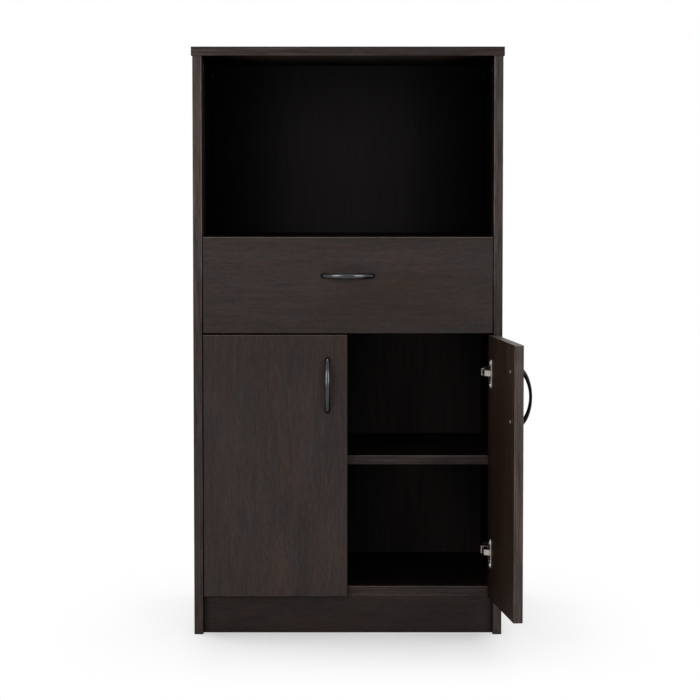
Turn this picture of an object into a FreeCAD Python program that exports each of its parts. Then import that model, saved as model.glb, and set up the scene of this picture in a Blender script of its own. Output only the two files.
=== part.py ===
import FreeCAD, Part
import os
from collections import defaultdict

import Sketcher
from FreeCAD import Placement, Rotation, Vector

# Microwave stand with drawer: an open bay for the oven, a drawer on roller slides and a cupboard
# with one adjustable shelf behind two inset doors on concealed hinges.
# +Z is up and the front faces -Y. The origin is on the floor, at the middle of the front plinth's foot.
# The right door stands open at rest; the left door and the drawer are closed.

# Driving dimensions, in millimetres and degrees.
SIZES = {
    # carcass
    "width": 624,  # over the two sides
    "height": 1189,
    "depth": 460,  # of the sides
    "board": 18,
    "back_board": 3,
    "back_margin": 4,  # the back boards stop this far inside the carcass's outline
    "top_overhang": 2.5,
    "plinth_height": 77.5,
    "plinth_setback": 20,
    "bay_height": 365.5,  # clear height for the oven
    "lower_bay_height": 248.5,  # from the bottom panel to the cupboard shelf
    "shelf_setback": 30,
    "shelf_play": 1,
    "back_play": 2,  # between the cupboard shelf and the back board
    "divider_lift": 1,  # the drawer divider's underside above the drawer front's lower edge
    # fronts
    "front_height": 194,
    "front_lap": 2,  # the drawer front stands this much above the microwave shelf
    "front_gap": 3.7,  # between the drawer front and the doors
    "side_gap": 1.8,
    "door_gap": 2.4,
    "stop_gap": 2,  # behind the fronts
    "right_door_angle": 96.5,
    # knock-down fittings
    "cam_diameter": 15,
    "cam_depth": 13,
    "cam_slot_depth": 2.5,
    "cam_reach": 24,  # from the joint to the cam's centre
    "bolt_diameter": 6,
    "bolt_bore": 7,
    "bolt_bite": 11,
    "dowel_diameter": 8,
    "dowel_length": 30,
    "dowel_bite": 12,
    "fitting_inset": 60,
    "plinth_cam_height": 25,
    "plinth_dowel_height": 55,
    "fit_play": 0.05,
    "bore_spare": 0.5,  # depth that a fitting leaves free at a bore's end
    # shelf pins
    "pin_head": 6.5,
    "pin_head_height": 9,
    "pin_shank": 5,
    "pin_length": 8,
    "pin_inset": 60,
    "pin_pitch": 32,
    # back nails
    "nail_head": 5,
    "nail_head_height": 0.8,
    "nail_shank": 1.6,
    "nail_length": 18,
    "nail_inset": 30,
    "seam_nail_lift": 4.5,  # above the two back boards' seam
    # concealed hinges
    "hinge_top_inset": 76,  # from a door's top to the upper hinge's centre
    "hinge_low_inset": 93,
    "pivot_outset": 3.5,  # hinge axis, outside the side's inner face
    "pivot_depth": 3.2,  # hinge axis, behind the front plane
    "cup_diameter": 35,
    "cup_depth": 11.5,
    "cup_wall": 1,
    "cup_setback": 22.5,  # from the door's edge to the cup's centre
    "flange_metal": 1.2,
    "flange_rim": 1.5,  # the rim's width outside the cup
    "wing_width": 14,
    "wing_pitch": 45,  # between the two cup screws
    "wing_offset": 9.5,  # from the cup's centre to the screws
    "cup_screw_head": 7,
    "cup_screw_head_height": 1.6,
    "cup_screw_shank": 3.5,
    "cup_screw_length": 12,
    "cheek_metal": 1.2,  # the two cheeks in the cup, above and below the link
    "cheek_reach": 12,
    "arm_metal": 1.2,
    "arm_height": 14,
    "arm_nose": 2.6,  # depths behind the doors' inner faces
    "arm_web_start": 10.5,
    "arm_crank_start": 18,
    "arm_crank_end": 30,
    "arm_end": 58,
    "arm_nose_rise": 23,  # heights above the side's inner face
    "arm_tail_rise": 17,
    "arm_foot_rise": 3,
    "arm_nose_depth": 6.6,
    "pin_axis_rise": 20,
    "pin_axis_depth": 6,
    "hinge_pin_diameter": 2.4,
    "link_gap": 0.3,  # between the link and the cheeks that it runs between
    "link_metal": 3,
    "link_boss": 5.6,
    "link_length": 38,
    "link_dip": 1.2,
    "hook_length": 9.5,
    "hook_drop": 10.3,
    "link_toe": 2,  # the hook's end is cut back by this much
    "link_tilt": 9.05,  # behind the door's plane, with the door closed
    "link_ratio": 1.052,  # link angle per door angle
    "plate_setback": 39,  # the plate screws, behind the doors' inner faces
    "plate_length": 28,
    "plate_lead": 11,  # plate in front of its screws
    "plate_rise": 8.5,
    "plate_height": 10,
    "plate_metal": 2.5,
    "plate_wing": 14,
    "plate_pitch": 32,
    "plate_screw_head": 8,
    "plate_screw_head_height": 1.8,
    "plate_screw_shank": 5,
    "plate_screw_length": 13,
    "arm_screw_head": 8,
    "arm_screw_head_height": 2.2,
    "arm_screw_shank": 4,
    "arm_screw_length": 12,
    "arm_screw_lead": 9,  # behind the plate screws
    # drawer
    "drawer_board": 15,
    "drawer_side_height": 120,
    "drawer_bottom": 3,
    "drawer_bottom_lift": 10,
    "groove_depth": 4,
    "groove_play": 0.2,
    "drawer_cam_low": 28,
    "drawer_cam_high": 92,
    "back_screw_head": 7,
    "back_screw_head_height": 1.6,
    "back_screw_shank": 3.5,
    "back_screw_length": 40,
    # roller slides
    "slide_room": 60,  # the part of the depth that the slides leave free
    "slide_gap": 13,  # between a drawer side and the carcass
    "slide_metal": 1.2,
    "slide_setback": 22,
    "channel_lift": 12,  # the channel's floor above the divider
    "channel_height": 22,
    "channel_width": 10.5,
    "channel_mouth": 38,  # the top flange starts this far behind the channel's front
    "roller_inset": 12,
    "roller_offset": 3,
    "roller_width": 5.5,
    "roller_gap": 0.3,
    "front_roller_diameter": 15,
    "front_roller_lift": 0.7,
    "rear_roller_diameter": 18,
    "lip_width": 7.8,
    "lip_stop": 14,
    "rail_drop": 13,
    "axle_head": 8,
    "axle_head_height": 0.8,
    "axle_shank": 5,
    "slide_screw_head": 6.5,
    "slide_screw_head_height": 1.5,
    "slide_screw_shank": 3.4,
    "slide_screw_length": 14,
    "slide_screw_inset": 40,
    # bow handles
    "handle_length": 114.8,
    "handle_width": 11,
    "handle_projection": 24,
    "handle_grip": 5.8,  # thickness in the middle
    "handle_opening": 98,  # finger gap's chord on the face
    "handle_pitch": 96,
    "foot_diameter": 8.5,
    "foot_height": 8,
    "thread_depth": 7,
    "door_handle_inset": 40,  # from the door's free edge
    "door_handle_drop": 102,  # below the door's top
    "drawer_handle_drop": 78,
    "handle_screw_head": 7.5,
    "handle_screw_head_height": 1.8,
    "handle_screw_shank": 4,
    "handle_screw_length": 24,
    # cross recess of every screw, as shares of its head
    "recess_length": 0.62,
    "recess_width": 0.15,
    "recess_depth": 0.5,
}

SIDES = {"left": -1, "right": 1}
ORIGIN = ("0", "0", "0")
AXES = {"x": Vector(1, 0, 0), "y": Vector(0, 1, 0), "z": Vector(0, 0, 1)}

# Places worked out from the driving dimensions.
FRONT = "(-Sizes.plinth_setback - Sizes.board / 2)"
BACK = f"({FRONT} + Sizes.depth)"
INNER_FRONT = f"({FRONT} + Sizes.board + Sizes.stop_gap)"
INSIDE = "(Sizes.width / 2 - Sizes.board)"
UNDER_TOP = "(Sizes.height - Sizes.board)"
SHELF_TOP = f"({UNDER_TOP} - Sizes.bay_height)"
FRONT_TOP = f"({SHELF_TOP} + Sizes.front_lap)"
FRONT_LOW = f"({FRONT_TOP} - Sizes.front_height)"
DIVIDER_LOW = f"({FRONT_LOW} + Sizes.divider_lift)"
DIVIDER_TOP = f"({DIVIDER_LOW} + Sizes.board)"
DOOR_TOP = f"({FRONT_LOW} - Sizes.front_gap)"
DOOR_LOW = "Sizes.plinth_height"
DOOR_WIDTH = f"({INSIDE} - Sizes.side_gap - Sizes.door_gap / 2)"
BOTTOM_TOP = "(Sizes.plinth_height + Sizes.board)"
CUPBOARD_SHELF_LOW = f"({BOTTOM_TOP} + Sizes.lower_bay_height)"
HINGE_HEIGHTS = (f"{DOOR_LOW} + Sizes.hinge_low_inset", f"{DOOR_TOP} - Sizes.hinge_top_inset")

doc = FreeCAD.newDocument("MicrowaveStand")
sheet = doc.addObject("Spreadsheet::Sheet", "Sizes")
for row, (alias, value) in enumerate(SIZES.items(), 1):
    sheet.set(f"A{row}", alias)
    sheet.set(f"B{row}", str(value))
    sheet.setAlias(f"B{row}", alias)
doc.recompute()

blanks = {}  # board name -> the undrilled board
bores = defaultdict(list)  # board name -> the solids that drill or groove it
groups = defaultdict(list)  # node name -> the links to its separate solids
nodes = {}  # node name -> the finished object


# Building blocks


def aim(direction):
    """Turn +Z towards a direction such as "-y"."""
    sign = 1 if direction[0] == "+" else -1
    return Rotation(AXES["z"], AXES[direction[1]] * sign)


def opposite(direction):
    return ("-" if direction[0] == "+" else "+") + direction[1]


def outward(sign):
    """From the middle of the carcass towards one of its sides."""
    return "+x" if sign > 0 else "-x"


def shifted(point, direction, distance):
    """Move a point of three expressions along a direction."""
    moved = list(point)
    axis = "xyz".index(direction[1])
    moved[axis] = f"{moved[axis]} {direction[0]} ({distance})"
    return tuple(moved)


def span(sign, low, high):
    """A stretch along X, mirrored for the left side."""
    return (low, high) if sign > 0 else (f"-({high})", f"-({low})")


def side_span(sign, near, far):
    """A stretch along X between two distances inwards from a side's inner face."""
    return span(sign, f"{INSIDE} - ({far})", f"{INSIDE} - ({near})")


def side_x(sign, distance):
    """X at a distance inwards from a side's inner face."""
    return f"{sign} * ({INSIDE} - ({distance}))"


def move(item, point, rotation=Rotation()):
    item.Placement = Placement(Vector(), rotation)
    for axis, place in zip("xyz", point):
        item.setExpression(f".Placement.Base.{axis}", place)
    return item


def box(name, xs, ys, zs):
    """A block between low and high expressions along each axis."""
    block = doc.addObject("Part::Box", name)
    for size, axis, (low, high) in zip(("Length", "Width", "Height"), "xyz", (xs, ys, zs)):
        block.setExpression(size, f"({high}) - ({low})")
        block.setExpression(f".Placement.Base.{axis}", low)
    return block


def cylinder(name, start, towards, length, diameter):
    rod = doc.addObject("Part::Cylinder", name)
    rod.setExpression("Radius", f"({diameter}) / 2")
    rod.setExpression("Height", length)
    return move(rod, start, aim(towards))


def fuse(name, *items):
    joined = doc.addObject("Part::MultiFuse", name)
    joined.Shapes = list(items)
    return joined


def cut(name, base, *tools):
    """Take the tools away from the base."""
    result = doc.addObject("Part::Cut", name)
    result.Base = base
    result.Tool = tools[0] if len(tools) == 1 else fuse(name + "Tools", *tools)
    return result


def common(name, base, tool):
    shared = doc.addObject("Part::Common", name)
    shared.Base = base
    shared.Tool = tool
    return shared


def outline(body, name, points):
    """A closed sketch on the body's XY plane through points given as pairs of expressions."""
    sketch = body.newObject("Sketcher::SketchObject", name)
    planes = [item for item in body.Origin.OriginFeatures if item.Role == "XY_Plane"]
    sketch.AttachmentSupport = [(planes[0], "")]
    sketch.MapMode = "FlatFace"
    corners = [Vector(body.evalExpression(x), body.evalExpression(y), 0) for x, y in points]
    count = len(points)
    for i in range(count):
        sketch.addGeometry(Part.LineSegment(corners[i], corners[(i + 1) % count]), False)
    for i in range(count):
        sketch.addConstraint(Sketcher.Constraint("Coincident", i, 2, (i + 1) % count, 1))
    for i, (x, y) in enumerate(points):
        across = sketch.addConstraint(Sketcher.Constraint("DistanceX", -1, 1, i, 1, corners[i].x))
        along = sketch.addConstraint(Sketcher.Constraint("DistanceY", -1, 1, i, 1, corners[i].y))
        sketch.setExpression(f"Constraints[{across}]", x)
        sketch.setExpression(f"Constraints[{along}]", y)
    return sketch


def profile(name, points, height):
    """A body padded equally up and down from a closed outline."""
    body = doc.addObject("PartDesign::Body", name)
    pad = body.newObject("PartDesign::Pad", name + "Pad")
    pad.Profile = outline(body, name + "Outline", points)
    pad.Midplane = True
    pad.setExpression("Length", height)
    return body


def pocket(body, name, points, height):
    """Clear an outline out of a body, equally up and down from its middle plane."""
    recess = body.newObject("PartDesign::Pocket", name)
    recess.Profile = outline(body, name + "Outline", points)
    recess.Midplane = True
    recess.setExpression("Length", height)


def link(master, point, rotation=Rotation()):
    copy = doc.addObject("App::Link", master.Name + "Copy")
    copy.LinkedObject = master
    copy.LinkTransform = True
    return move(copy, point, rotation)


def drill(board, mouth, into, depth, diameter):
    bores[board].append(cylinder("Bore", mouth, into, depth, diameter))


def groove(board, xs, ys, zs):
    bores[board].append(box("Groove", xs, ys, zs))


# Fasteners: each kind is made once, with its head on the plane z = 0 and its shank below it


def fastener(kind, length=None, recessed=True):
    head = cylinder("Head", ORIGIN, "+z", f"Sizes.{kind}_head_height", f"Sizes.{kind}_head")
    shank = cylinder("Shank", ORIGIN, "-z", length or f"Sizes.{kind}_length", f"Sizes.{kind}_shank")
    whole = fuse("Fastener", head, shank)
    if not recessed:
        return whole
    reach = f"Sizes.{kind}_head * Sizes.recess_length / 2"
    half = f"Sizes.{kind}_head * Sizes.recess_width / 2"
    floor = f"Sizes.{kind}_head_height * (1 - Sizes.recess_depth)"
    deep = (floor, f"Sizes.{kind}_head_height")
    slots = [
        box("Slot", (f"-{a}", a), (f"-{b}", b), deep) for a, b in ((reach, half), (half, reach))
    ]
    return cut("RecessedFastener", whole, *slots)


def cam(name, thickness):
    """A cam lock: its face on the plane z = 0, its bolt arriving along +X in the board's middle."""
    snug = "Sizes.cam_diameter - 2 * Sizes.fit_play"
    disc = cylinder("Disc", ORIGIN, "-z", "Sizes.cam_depth", snug)
    end = ("-Sizes.bolt_diameter / 2", "0", f"-({thickness}) / 2")
    channel = cylinder("Channel", end, "+x", "Sizes.cam_diameter", "Sizes.bolt_bore")
    reach = "Sizes.cam_diameter * Sizes.recess_length / 2"
    half = "Sizes.cam_diameter * Sizes.recess_width / 2"
    deep = ("-Sizes.cam_slot_depth", "0")
    slots = [
        box("Slot", (f"-{a}", a), (f"-{b}", b), deep) for a, b in ((reach, half), (half, reach))
    ]
    return cut(name, disc, channel, *slots)


MASTERS = {
    "pin": fastener("pin", recessed=False),
    "nail": fastener("nail", recessed=False),
    "cup_screw": fastener("cup_screw"),
    "plate_screw": fastener("plate_screw"),
    "arm_screw": fastener("arm_screw"),
    "back_screw": fastener("back_screw"),
    "slide_screw": fastener("slide_screw"),
    "handle_screw": fastener("handle_screw"),
    "axle": fastener(
        "axle", "Sizes.roller_offset + Sizes.roller_width + Sizes.roller_gap", recessed=False
    ),
}
CAMS = {
    "Sizes.board": cam("CarcassCam", "Sizes.board"),
    "Sizes.drawer_board": cam("DrawerCam", "Sizes.drawer_board"),
}
BOLT = cylinder(
    "Bolt", ("0", "0", "-Sizes.cam_reach"), "+z", "Sizes.cam_reach + Sizes.bolt_bite", "Sizes.bolt_diameter"
)
DOWEL = cylinder(
    "Dowel",
    ("0", "0", "Sizes.dowel_bite - Sizes.dowel_length"),
    "+z",
    "Sizes.dowel_length",
    "Sizes.dowel_diameter",
)


def fix(group, kind, seat, out):
    """Put a fastener's head on its seat, facing out."""
    groups[group].append(link(MASTERS[kind], seat, aim(out)))


def pilot(board, kind, mouth, into, depth):
    """Drill a hole that a fastener's shank just fits."""
    drill(board, mouth, into, depth, f"Sizes.{kind}_shank + 2 * Sizes.fit_play")


def knock_down(prefix, panel, other, junction, into, face, thickness="Sizes.board"):
    """Draw a panel onto another board: a bolt screwed into that board and a cam in the panel."""
    groups[prefix + "cam_bolts"].append(link(BOLT, junction, aim(into)))
    centre = shifted(junction, opposite(into), "Sizes.cam_reach")
    mouth = shifted(centre, face, f"{thickness} / 2")
    face_axis = AXES[face[1]] * (1 if face[0] == "+" else -1)
    bolt_axis = AXES[into[1]] * (1 if into[0] == "+" else -1)
    turn = Rotation(bolt_axis, Vector(), face_axis, "ZXY")
    groups[prefix + "cam_locks"].append(link(CAMS[thickness], mouth, turn))
    drill(panel, mouth, opposite(face), "Sizes.cam_depth", "Sizes.cam_diameter")
    drill(panel, junction, opposite(into), "Sizes.cam_reach + Sizes.bolt_bore / 2", "Sizes.bolt_bore")
    snug = "Sizes.bolt_diameter + 2 * Sizes.fit_play"
    drill(other, junction, into, "Sizes.bolt_bite + Sizes.bore_spare", snug)


def dowel(panel, other, junction, into):
    groups["wood_dowels"].append(link(DOWEL, junction, aim(into)))
    snug = "Sizes.dowel_diameter + 2 * Sizes.fit_play"
    inner = "Sizes.dowel_length - Sizes.dowel_bite + Sizes.bore_spare"
    drill(panel, junction, opposite(into), inner, snug)
    drill(other, junction, into, "Sizes.dowel_bite + Sizes.bore_spare", snug)


def pair(name, master):
    """One copy of a hinge's piece at each of a door's two hinges."""
    for height in HINGE_HEIGHTS:
        groups[name].append(link(master, ("0", "0", height)))


# Carcass

CARCASS_X = (f"-{INSIDE}", INSIDE)
MIDDLE_Y = f"({FRONT} + Sizes.depth / 2)"
SHELF_LEVELS = {
    "microwave_shelf": f"({SHELF_TOP} - Sizes.board)",
    "drawer_divider": DIVIDER_LOW,
    "bottom_panel": DOOR_LOW,
}
PLINTHS = {
    "front_plinth": (f"{FRONT} + Sizes.plinth_setback", "+y"),
    "rear_plinth": (f"{BACK} - Sizes.board", "-y"),
}


def carcass_boards():
    for side, sign in SIDES.items():
        blanks[f"{side}_side_panel"] = box(
            "Side", side_span(sign, "-Sizes.board", "0"), (FRONT, BACK), ("0", UNDER_TOP)
        )
    half = "(Sizes.width / 2 + Sizes.top_overhang)"
    blanks["top_panel"] = box(
        "Top", (f"-{half}", half), (f"{FRONT} - Sizes.top_overhang", BACK), (UNDER_TOP, "Sizes.height")
    )
    for name, low in SHELF_LEVELS.items():
        blanks[name] = box("Level", CARCASS_X, (INNER_FRONT, BACK), (low, f"{low} + Sizes.board"))
    for name, (near, _) in PLINTHS.items():
        blanks[name] = box("Plinth", CARCASS_X, (near, f"{near} + Sizes.board"), ("0", DOOR_LOW))
    blanks["cupboard_shelf"] = box(
        "CupboardShelf",
        (f"-({INSIDE} - Sizes.shelf_play)", f"{INSIDE} - Sizes.shelf_play"),
        (f"{FRONT} + Sizes.shelf_setback", f"{BACK} - Sizes.back_play"),
        (CUPBOARD_SHELF_LOW, f"{CUPBOARD_SHELF_LOW} + Sizes.board"),
    )


def carcass_joints():
    ends = (f"{INNER_FRONT} + Sizes.fitting_inset", f"{BACK} - Sizes.fitting_inset")
    for side, sign in SIDES.items():
        panel = f"{side}_side_panel"
        out = outward(sign)
        for name, low in SHELF_LEVELS.items():
            height = f"{low} + Sizes.board / 2"
            for y in ends:
                knock_down("", name, panel, (side_x(sign, "0"), y, height), out, "-z")
            dowel(name, panel, (side_x(sign, "0"), MIDDLE_Y, height), out)
        for name, (near, face) in PLINTHS.items():
            y = f"{near} + Sizes.board / 2"
            low_point = (side_x(sign, "0"), y, "Sizes.plinth_cam_height")
            knock_down("", name, panel, low_point, out, face)
            dowel(name, panel, (side_x(sign, "0"), y, "Sizes.plinth_dowel_height"), out)
        edge = side_x(sign, "-Sizes.board / 2")
        for y in ends:
            knock_down("", panel, "top_panel", (edge, y, UNDER_TOP), "+z", opposite(out))
        dowel(panel, "top_panel", (edge, MIDDLE_Y, UNDER_TOP), "+z")


def shelf_pins():
    height = f"{CUPBOARD_SHELF_LOW} - Sizes.pin_head / 2 - Sizes.fit_play"
    ends = (f"{FRONT} + Sizes.shelf_setback + Sizes.pin_inset", f"{BACK} - Sizes.pin_inset")
    for side, sign in SIDES.items():
        for y in ends:
            seat = (side_x(sign, "0"), y, height)
            fix("shelf_pins", "pin", seat, opposite(outward(sign)))
            for row in (-1, 0, 1):
                mouth = shifted(seat, "+z", f"{row} * Sizes.pin_pitch")
                depth = "Sizes.pin_length + Sizes.bore_spare"
                pilot(f"{side}_side_panel", "pin", mouth, outward(sign), depth)


def back_boards():
    """Two hardboard sheets that meet on the microwave shelf, nailed to the carcass's rear edges."""
    half = "(Sizes.width / 2 - Sizes.back_margin)"
    seam = f"({SHELF_TOP} - Sizes.board / 2)"
    top = "(Sizes.height - Sizes.back_margin)"
    rear = f"({BACK} + Sizes.back_board)"
    sheets = {"lower_back_panel": (DOOR_LOW, seam), "upper_back_panel": (seam, top)}
    for name, heights in sheets.items():
        blanks[name] = box("BackBoard", (f"-{half}", half), (BACK, rear), heights)

    def nail(sheet_name, board, x, z):
        seat = (x, rear, z)
        fix("back_panel_nails", "nail", seat, "+y")
        pilot(sheet_name, "nail", seat, "-y", "Sizes.back_board")
        pilot(board, "nail", (x, BACK, z), "-y", "Sizes.nail_length - Sizes.back_board + Sizes.bore_spare")

    for side, sign in SIDES.items():
        x = side_x(sign, "-Sizes.board / 2")
        for name, (low, high) in sheets.items():
            for share in (0, 0.5, 1):
                z = f"{low} + Sizes.nail_inset + {share} * ({high} - {low} - 2 * Sizes.nail_inset)"
                nail(name, f"{side}_side_panel", x, z)
    rows = {
        "bottom_panel": ("lower_back_panel", f"{DOOR_LOW} + Sizes.board / 2"),
        "drawer_divider": ("lower_back_panel", f"{DIVIDER_LOW} + Sizes.board / 2"),
        "microwave_shelf": ("upper_back_panel", f"{seam} + Sizes.seam_nail_lift"),
        "top_panel": ("upper_back_panel", f"{UNDER_TOP} + Sizes.board / 2"),
    }
    for board, (name, z) in rows.items():
        for share in (-0.5, 0, 0.5):
            nail(name, board, f"{share} * {INSIDE}", z)


# Roller slides

CHANNEL_FLOOR = f"({DIVIDER_TOP} + Sizes.channel_lift)"
FRONT_ROLLER_Z = f"({CHANNEL_FLOOR} + Sizes.front_roller_lift + Sizes.front_roller_diameter / 2)"
REAR_ROLLER_Z = f"({CHANNEL_FLOOR} + Sizes.roller_gap + Sizes.rear_roller_diameter / 2)"
LIP_LOW = f"({FRONT_ROLLER_Z} + Sizes.front_roller_diameter / 2 + Sizes.roller_gap)"
DRAWER_LOW = f"({LIP_LOW} - Sizes.rail_drop)"
SLIDE_FRONT = f"({FRONT} + Sizes.slide_setback)"
SLIDE_LENGTH = "(Sizes.depth - Sizes.slide_room)"
SLIDE_BACK = f"({SLIDE_FRONT} + {SLIDE_LENGTH})"
DRAWER_FRONT_BACK = f"({FRONT} + Sizes.board)"
DRAWER_BACK = f"({DRAWER_FRONT_BACK} + {SLIDE_LENGTH})"
FRONT_ROLLER_Y = f"({SLIDE_FRONT} + Sizes.roller_inset)"
REAR_ROLLER_Y = f"({DRAWER_BACK} - Sizes.roller_inset)"
AXLE_REACH = "(Sizes.roller_offset + Sizes.roller_width + Sizes.roller_gap)"


def slide_channels():
    """The carcass half of each slide: a channel with a roller at its mouth."""
    metal = "Sizes.slide_metal"
    ceiling = f"({CHANNEL_FLOOR} + Sizes.channel_height)"
    whole = (SLIDE_FRONT, SLIDE_BACK)
    for side, sign in SIDES.items():
        name = f"{side}_slide_channel"
        inwards = opposite(outward(sign))
        heights = (f"{CHANNEL_FLOOR} - {metal}", f"{ceiling} + {metal}")
        web = box("Web", side_span(sign, "0", metal), whole, heights)
        flange = side_span(sign, "0", "Sizes.channel_width")
        floor = box("Floor", flange, whole, (f"{CHANNEL_FLOOR} - {metal}", CHANNEL_FLOOR))
        roof = box(
            "Roof",
            flange,
            (f"{SLIDE_FRONT} + Sizes.channel_mouth", SLIDE_BACK),
            (ceiling, f"{ceiling} + {metal}"),
        )
        blanks[name] = fuse("Channel", web, floor, roof)
        pilot(name, "axle", (side_x(sign, "0"), FRONT_ROLLER_Y, FRONT_ROLLER_Z), inwards, metal)
        seat = (side_x(sign, AXLE_REACH), FRONT_ROLLER_Y, FRONT_ROLLER_Z)
        fix("front_roller_axles", "axle", seat, inwards)
        height = f"{CHANNEL_FLOOR} + Sizes.channel_height / 2"
        middle = f"({SLIDE_FRONT} + {SLIDE_LENGTH} / 2)"
        screws = (
            f"{SLIDE_FRONT} + Sizes.slide_screw_inset",
            middle,
            f"{SLIDE_BACK} - Sizes.slide_screw_inset",
        )
        for y in screws:
            fix("slide_channel_screws", "slide_screw", (side_x(sign, metal), y, height), inwards)
            pilot(name, "slide_screw", (side_x(sign, "0"), y, height), inwards, metal)
            depth = "Sizes.slide_screw_length - Sizes.slide_metal + Sizes.bore_spare"
            pilot(f"{side}_side_panel", "slide_screw", (side_x(sign, "0"), y, height), outward(sign), depth)


def drawer_rails():
    """The drawer half of each slide: a rail under the drawer's side, with a lip and a rear roller."""
    metal = "Sizes.slide_metal"
    gap = "Sizes.slide_gap"
    for side, sign in SIDES.items():
        name = f"{side}_drawer_rail"
        whole = (DRAWER_FRONT_BACK, DRAWER_BACK)
        web = box(
            "Web",
            side_span(sign, f"{gap} - {metal}", gap),
            whole,
            (f"{DRAWER_LOW} - {metal}", f"{LIP_LOW} + {metal}"),
        )
        sole = box(
            "Sole",
            side_span(sign, f"{gap} - {metal}", f"{gap} + Sizes.drawer_board"),
            whole,
            (f"{DRAWER_LOW} - {metal}", DRAWER_LOW),
        )
        lip_stop = f"{REAR_ROLLER_Y} - Sizes.lip_stop"
        lip = box(
            "Lip",
            side_span(sign, f"{gap} - {metal} - Sizes.lip_width", gap),
            (DRAWER_FRONT_BACK, lip_stop),
            (LIP_LOW, f"{LIP_LOW} + {metal}"),
        )
        blanks[name] = fuse("Rail", web, sole, lip)
        pilot(name, "axle", (side_x(sign, gap), REAR_ROLLER_Y, REAR_ROLLER_Z), outward(sign), metal)
        seat = (side_x(sign, f"{gap} - {AXLE_REACH}"), REAR_ROLLER_Y, REAR_ROLLER_Z)
        fix("rear_roller_axles", "axle", seat, outward(sign))
        x = side_x(sign, f"{gap} + Sizes.drawer_board / 2")
        for y in (
            f"{DRAWER_FRONT_BACK} + Sizes.slide_screw_inset",
            f"{DRAWER_BACK} - Sizes.slide_screw_inset",
        ):
            fix("drawer_rail_screws", "slide_screw", (x, y, f"{DRAWER_LOW} - {metal}"), "-z")
            pilot(name, "slide_screw", (x, y, f"{DRAWER_LOW} - {metal}"), "+z", metal)
            depth = "Sizes.slide_screw_length - Sizes.slide_metal + Sizes.bore_spare"
            pilot(f"drawer_{side}_side", "slide_screw", (x, y, DRAWER_LOW), "+z", depth)


def roller(group, sign, near, y, z, diameter):
    """A wheel between two distances inwards from the side, free on its axle."""
    start = (side_x(sign, near), y, z)
    inwards = opposite(outward(sign))
    wheel = cylinder("Wheel", start, inwards, "Sizes.roller_width", diameter)
    bore = "Sizes.axle_shank + 4 * Sizes.fit_play"
    hole = cylinder("AxleHole", start, inwards, "Sizes.roller_width", bore)
    groups[group].append(cut("Roller", wheel, hole))


def rollers():
    for sign in SIDES.values():
        near = "Sizes.roller_offset"
        roller("front_rollers", sign, near, FRONT_ROLLER_Y, FRONT_ROLLER_Z, "Sizes.front_roller_diameter")
        near = "Sizes.slide_gap - Sizes.roller_offset - Sizes.roller_width"
        roller("rear_rollers", sign, near, REAR_ROLLER_Y, REAR_ROLLER_Z, "Sizes.rear_roller_diameter")


# Drawer

DRAWER_INSIDE = f"({INSIDE} - Sizes.slide_gap - Sizes.drawer_board)"
DRAWER_TOP = f"({DRAWER_LOW} + Sizes.drawer_side_height)"
DRAWER_FLOOR = f"({DRAWER_LOW} + Sizes.drawer_bottom_lift)"
DRAWER_BACK_FACE = f"({DRAWER_BACK} - Sizes.drawer_board)"


def drawer_box():
    half = f"({INSIDE} - Sizes.side_gap)"
    blanks["drawer_front"] = box(
        "DrawerFront", (f"-{half}", half), (FRONT, DRAWER_FRONT_BACK), (FRONT_LOW, FRONT_TOP)
    )
    blanks["drawer_back"] = box(
        "DrawerBack",
        (f"-{DRAWER_INSIDE}", DRAWER_INSIDE),
        (DRAWER_BACK_FACE, DRAWER_BACK),
        (DRAWER_LOW, DRAWER_TOP),
    )
    reach = f"({DRAWER_INSIDE} + Sizes.groove_depth)"
    near = f"{DRAWER_FRONT_BACK} - Sizes.groove_depth"
    far = f"{DRAWER_BACK_FACE} + Sizes.groove_depth"
    play = "Sizes.groove_play"
    slot = (f"{DRAWER_FLOOR} - {play}", f"{DRAWER_FLOOR} + Sizes.drawer_bottom + {play}")
    blanks["drawer_bottom"] = box(
        "DrawerBottom",
        (f"-{reach} + {play}", f"{reach} - {play}"),
        (f"{near} + {play}", f"{far} - {play}"),
        (DRAWER_FLOOR, f"{DRAWER_FLOOR} + Sizes.drawer_bottom"),
    )
    groove("drawer_front", (f"-{reach}", reach), (near, DRAWER_FRONT_BACK), slot)
    groove("drawer_back", (f"-{DRAWER_INSIDE}", DRAWER_INSIDE), (DRAWER_BACK_FACE, far), slot)
    for side, sign in SIDES.items():
        name = f"drawer_{side}_side"
        wall = span(sign, DRAWER_INSIDE, f"{DRAWER_INSIDE} + Sizes.drawer_board")
        blanks[name] = box("DrawerSide", wall, (DRAWER_FRONT_BACK, DRAWER_BACK), (DRAWER_LOW, DRAWER_TOP))
        groove(name, span(sign, DRAWER_INSIDE, reach), (DRAWER_FRONT_BACK, far), slot)
        middle = side_x(sign, "Sizes.slide_gap + Sizes.drawer_board / 2")
        outer = side_x(sign, "Sizes.slide_gap")
        inwards = opposite(outward(sign))
        for height in ("Sizes.drawer_cam_low", "Sizes.drawer_cam_high"):
            z = f"{DRAWER_LOW} + {height}"
            joint = (middle, DRAWER_FRONT_BACK, z)
            knock_down("drawer_", name, "drawer_front", joint, "-y", inwards, "Sizes.drawer_board")
            y = f"{DRAWER_BACK} - Sizes.drawer_board / 2"
            fix("drawer_back_screws", "back_screw", (outer, y, z), outward(sign))
            pilot(name, "back_screw", (outer, y, z), inwards, "Sizes.drawer_board")
            depth = "Sizes.back_screw_length - Sizes.drawer_board + Sizes.bore_spare"
            end = (side_x(sign, "Sizes.slide_gap + Sizes.drawer_board"), y, z)
            pilot("drawer_back", "back_screw", end, inwards, depth)


# Handles: a bow along X that stands out towards -Y from the plane y = 0


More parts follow.
